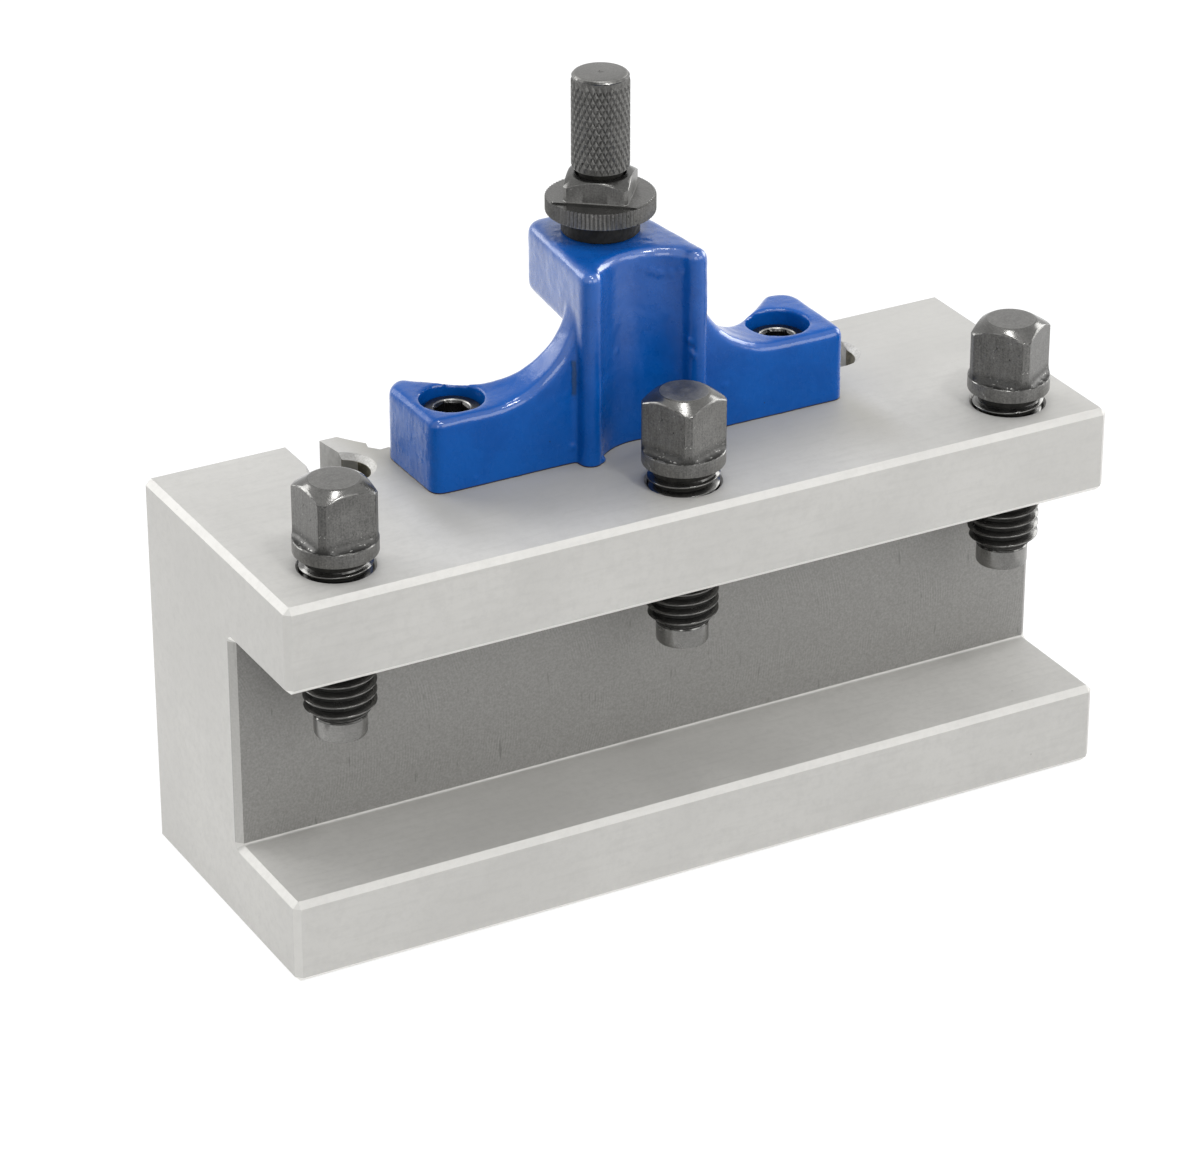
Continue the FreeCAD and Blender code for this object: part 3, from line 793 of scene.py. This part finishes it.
def lock_nut(materials):
    node = "lock_nut"
    x, y, low, _ = axis_of(node)
    half, corner_r, bore, hub_r, flange_r = 5.3, 7.05, 4.08, 6.4, 9.0
    hub_top, flange_top, top = 3.4, 6.5, 10.1
    columns = 320
    angles = round_angles(columns)
    groove = np.array([0.0, 0.14, 0.28, 0.14])[np.arange(columns) % 4]
    off = np.radians(np.abs((np.degrees(angles) + 45) % 90 - 45))
    square = np.minimum(half / np.cos(off), corner_r)
    crown = top - 0.12 - (square - half) * math.tan(math.radians(30))
    skin = Skin()
    skin.tube(angles, [
        (bore, 0.0, GLOSSY),
        (hub_r - 0.2, 0.0, GLOSSY),
        # The hub under the flange: near-black painted shade
        (hub_r, 0.2, GAP_SHADE),
        (hub_r, hub_top, GAP_SHADE),
        (flange_r - 0.25, hub_top, PLAIN),
        (flange_r - 0.08 - groove * 0.5, hub_top + 0.1, PLAIN),
        (flange_r - groove, hub_top + 0.3, PLAIN),
        (flange_r - groove, flange_top - 0.3, PLAIN),
        (flange_r - 0.10 - groove * 0.5, flange_top - 0.10, SHINY),
        (flange_r - 0.34, flange_top, SHINY),
        (square + 0.05, flange_top, PLAIN),
        (square, flange_top + 0.1, PLAIN),
        (square, crown - 0.08, PLAIN),
        (square - 0.08, crown + 0.02, WORN),
        (half - 0.15, top - 0.05, GLOSSY),
        (half - 0.45, top, GLOSSY),
        (bore + 0.15, top, GLOSSY),
        # The bore: near-black painted shade
        (bore, top - 0.15, GAP_SHADE),
        (bore, 0.0, GAP_SHADE),
    ])
    piece = skin.make("lock_nut_detailed", (x, y, low), materials, sharp=25)
    piece.rotation_euler.z = math.radians(NUT_TURN)
    reach = 12.0
    # The band milled off in front of the square takes the darker glossy black, which paints the shade in
    # front of the square
    milled_off(piece, (-reach, -reach, flange_top - 0.25), (reach, -half - 0.35, top), GLOSSY)
    milled_off(piece, (-reach, -half - 0.02, flange_top - 0.55), (-half - 0.02, reach, top), PLAIN)
    return stand_for(piece, node, "nut")


# The painted casting

# Drops, pimples and a sagged edge in the paint: place, reach and height in millimetres
PAINT_LUMPS = [
    ((-7.9, -4.0, 67.0), 1.0, 0.6),
    ((-12.4, -2.4, 69.5), 1.0, 0.3),
    ((-29.8, -2.2, 67.9), 0.6, 0.25),
    ((1.6, 0.0, 96.9), 1.1, 0.14),
    ((3.0, -0.3, 96.3), 1.2, 0.22),
    ((4.4, -0.8, 95.8), 1.2, 0.22),
    ((5.8, -1.6, 95.8), 1.2, 0.20),
    ((7.0, -2.6, 96.4), 1.1, 0.16),
    ((7.9, -4.2, 84.6), 0.9, 0.3),
    ((8.3, -4.6, 83.4), 0.7, -0.3),
    ((8.6, -4.9, 82.0), 0.8, 0.25),
    ((-3.2, -0.2, 83.5), 0.7, 0.2),
    ((-8.2, -3.8, 80.5), 0.6, 0.2),
    ((-8.2, -3.8, 76.0), 0.7, 0.25),
    ((16.0, -2.2, 74.0), 0.9, 0.2),
]


def even_copy(solid, base):
    """A solid in small even faces, with its foot lengthened below the base."""
    extra_foot = 2.4 * MM
    mesh = solid.data.copy()
    for vert in mesh.vertices:
        if vert.co.z < base + 0.01 * MM:
            vert.co.z -= extra_foot
    piece = bpy.data.objects.new("height_bracket_painted", mesh)
    bpy.context.scene.collection.objects.link(piece)
    remesh = piece.modifiers.new("even", "REMESH")
    remesh.mode = "VOXEL"
    remesh.voxel_size = 0.36 * MM
    apply_modifiers(piece)
    return piece


def lay_paint(work):
    """Swells the casting by a coat of uneven thickness, with the lumps in it."""
    lumps = [(Vector(place), reach, rise) for place, reach, rise in PAINT_LUMPS]
    moves = []
    for vert in work.verts:
        p = vert.co / MM
        swell = 0.08 * noise.noise(p * 0.22) + 0.035 * noise.noise(p * 0.75)
        for place, reach, rise in lumps:
            away = (p - place).length / reach
            if away < 1.0:
                swell += rise * (1.0 - away * away) ** 2
        moves.append(vert.normal * (swell * MM))
    for vert, move in zip(work.verts, moves):
        vert.co += move


def cut_foot(work, base):
    """Cuts off what is below the base, and closes the cut."""
    everything = work.verts[:] + work.edges[:] + work.faces[:]
    bmesh.ops.bisect_plane(work, geom=everything, plane_co=(0, 0, base), plane_no=(0, 0, 1),
                           clear_inner=True)
    rim = [edge for edge in work.edges if edge.is_boundary]
    bmesh.ops.triangle_fill(work, use_beauty=True, edges=rim, normal=(0, 0, -1))


def painted_bracket(material):
    """The casting with soft corners and paint that has filled its inner corners, from the solid's own
    shape. Its foot is lengthened before the corners are softened and cut off after, so it stays crisp."""
    base = TOP_FACE * MM
    piece = even_copy(frame["nodes"]["height_bracket"], base)
    mesh = piece.data
    work = bmesh.new()
    work.from_mesh(mesh)
    for _ in range(5):
        bmesh.ops.smooth_vert(work, verts=work.verts, factor=0.5,
                              use_axis_x=True, use_axis_y=True, use_axis_z=True)
    work.normal_update()
    lay_paint(work)
    cut_foot(work, base)
    for face in work.faces:
        face.smooth = True
    work.to_mesh(mesh)
    work.free()
    mesh.set_sharp_from_angle(angle=math.radians(50))
    mesh.materials.clear()
    mesh.materials.append(material)
    return stand_for(piece, "height_bracket", "holder")


# Stage, lights and camera

def stage_white(tree, lit, white):
    """Shows plain white to the camera and in reflections, and keeps the object's shadow."""
    path = tree.nodes.new("ShaderNodeLightPath")
    seen = tree.nodes.new("ShaderNodeMath")
    seen.operation = "MAXIMUM"
    tree.links.new(path.outputs["Is Camera Ray"], seen.inputs[0])
    also = tree.nodes.new("ShaderNodeMath")
    also.operation = "MAXIMUM"
    tree.links.new(path.outputs["Is Glossy Ray"], also.inputs[0])
    tree.links.new(path.outputs["Is Transmission Ray"], also.inputs[1])
    tree.links.new(also.outputs[0], seen.inputs[1])
    mix = tree.nodes.new("ShaderNodeMixShader")
    tree.links.new(seen.outputs[0], mix.inputs[0])
    tree.links.new(lit, mix.inputs[1])
    tree.links.new(white, mix.inputs[2])
    return mix.outputs[0], path.outputs["Is Camera Ray"]


def floor(level):
    """A floor of the given white, which falls off towards the front and the left in reflections."""
    mesh = bpy.data.meshes.new("floor")
    work = bmesh.new()
    bmesh.ops.create_grid(work, x_segments=4, y_segments=4, size=4.0)
    work.to_mesh(mesh)
    work.free()
    plane = bpy.data.objects.new("floor", mesh)
    plane.location.z = -0.0001
    bpy.context.scene.collection.objects.link(plane)
    s = Shader("white_floor", surface=False)
    lit = s.add("BsdfDiffuse", Color=(0.8, 0.8, 0.8, 1.0))
    dim = s.add("BsdfDiffuse", Color=(0.20, 0.20, 0.20, 1.0))
    x, y, _ = s.axes()
    depth = s.math("ADD", y, s.product(x, -0.35))
    mirrored = s.math("MAXIMUM", s.ramp(depth, -0.09, 0.05, 0.5, 1.0), s.ramp(x, 0.07, 0.13))
    leftward = s.math("ADD", y, s.product(x, 0.5))
    left = s.math("MAXIMUM", s.ramp(leftward, -0.09, 0.02, 0.2, 1.0), s.ramp(x, -0.20, -0.13))
    mirrored = s.product(mirrored, left)
    glow = s.add("Emission", Color=(1.0, 1.0, 1.0, 1.0))
    white = s.add("AddShader", i0=dim, i1=glow)
    surface, camera_ray = stage_white(s.tree, lit, white)
    s.put(glow.node.inputs["Strength"], s.between(camera_ray, mirrored, level))
    s.tree.links.new(surface, s.output.inputs["Surface"])
    mesh.materials.append(s.material)


def world(level):
    """Soft light of the given level from all round, and plain white to the camera."""
    made = bpy.data.worlds.new("studio")
    bpy.context.scene.world = made
    made.use_nodes = True
    tree = made.node_tree
    tree.nodes.clear()
    out = tree.nodes.new("ShaderNodeOutputWorld")
    low = tree.nodes.new("ShaderNodeBackground")
    low.inputs["Strength"].default_value = level
    high = tree.nodes.new("ShaderNodeBackground")
    high.inputs["Strength"].default_value = 1.0
    for part in (low, high):
        part.inputs["Color"].default_value = (1.0, 1.0, 1.0, 1.0)
    tree.links.new(stage_white(tree, low.outputs[0], high.outputs[0])[0], out.inputs["Surface"])


def lamp(name, place, size, power):
    data = bpy.data.lights.new(name, "AREA")
    data.shape = "RECTANGLE"
    data.size, data.size_y = size
    data.energy = power
    made = bpy.data.objects.new(name, data)
    made.location = place
    made.rotation_euler = (Vector((0, 0, 0.05)) - Vector(place)).to_track_quat("-Z", "Y").to_euler()
    bpy.context.scene.collection.objects.link(made)


def camera():
    data = bpy.data.cameras.new("camera")
    data.sensor_width = 36
    data.lens = 145.0
    data.clip_start = 0.01
    data.clip_end = 50
    made = bpy.data.objects.new("camera", data)
    made.location = (-0.3451, -0.6177, 0.4068)
    back = Vector((-0.42767, -0.77921, 0.45818))
    made.rotation_euler = (-back).to_track_quat("-Z", "Y").to_euler()
    bpy.context.scene.collection.objects.link(made)
    bpy.context.scene.camera = made


sides = ("left", "middle", "right")
bores = [axis_of("clamp_screw_" + side)[:2] for side in sides]
worn = worn_edge()
point = turned_steel("dog_steel", 0.20, 0.29, 0.26, 0.34)
rubbed = turned_steel("rubbed_steel", 0.14, 0.23)
glossy = turned_steel("glossy_black", 0.075, 0.125, 0.20, 0.28)
# Near-black painted shade for gaps, thread roots, bores and the nut's hub
dirt_and_gap_shade = painted_gap_shade()
shiny = turned_steel("shiny_black", 0.11, 0.18, 0.16, 0.22)

body = frame["nodes"]["holder_body"]
body.data.materials.clear()
body.data.materials.append(ground_steel(bores))

screw_black = black_oxide("black_clamp_screw", tone=1.75, foot=2.4)
marked = [worn, point, rubbed, glossy, dirt_and_gap_shade, shiny]
for side in sides:
    clamp_screw(side, [screw_black] + marked)
# The cap screws take a much darker black than the others: painted shade of their counterbores
cap_black_and_shade = black_oxide("black_cap_screw", tone=0.4, rough_low=0.22, rough_high=0.34)
for side in ("left", "right"):
    bracket_screw(side, [cap_black_and_shade, point])
adjusting_screw([black_oxide("black_adjuster", tone=1.45)] + marked)
lock_nut([black_oxide("black_nut", tone=1.75)] + marked)
painted_bracket(blue_paint())

floor(level=0.85)
world(level=0.47)
lamp("back_left_softbox", (-0.62, 0.92, 0.55), (0.7, 0.7), 8)
lamp("top_softbox", (0.0, 0.0, 1.25), (0.2, 0.2), 2.2)
lamp("key_softbox", (0.12, -0.64, 1.17), (0.2, 0.2), 4.0)
lamp("right_softbox", (1.15, 0.1, 0.45), (0.9, 0.6), 8)
lamp("front_softbox", (0.55, -1.05, 0.6), (1.0, 0.6), 4)
lamp("camera_fill", (-0.55, -1.0, 0.65), (0.5, 0.5), 2.0)
camera()

scene = bpy.context.scene
scene.view_settings.view_transform = "Standard"
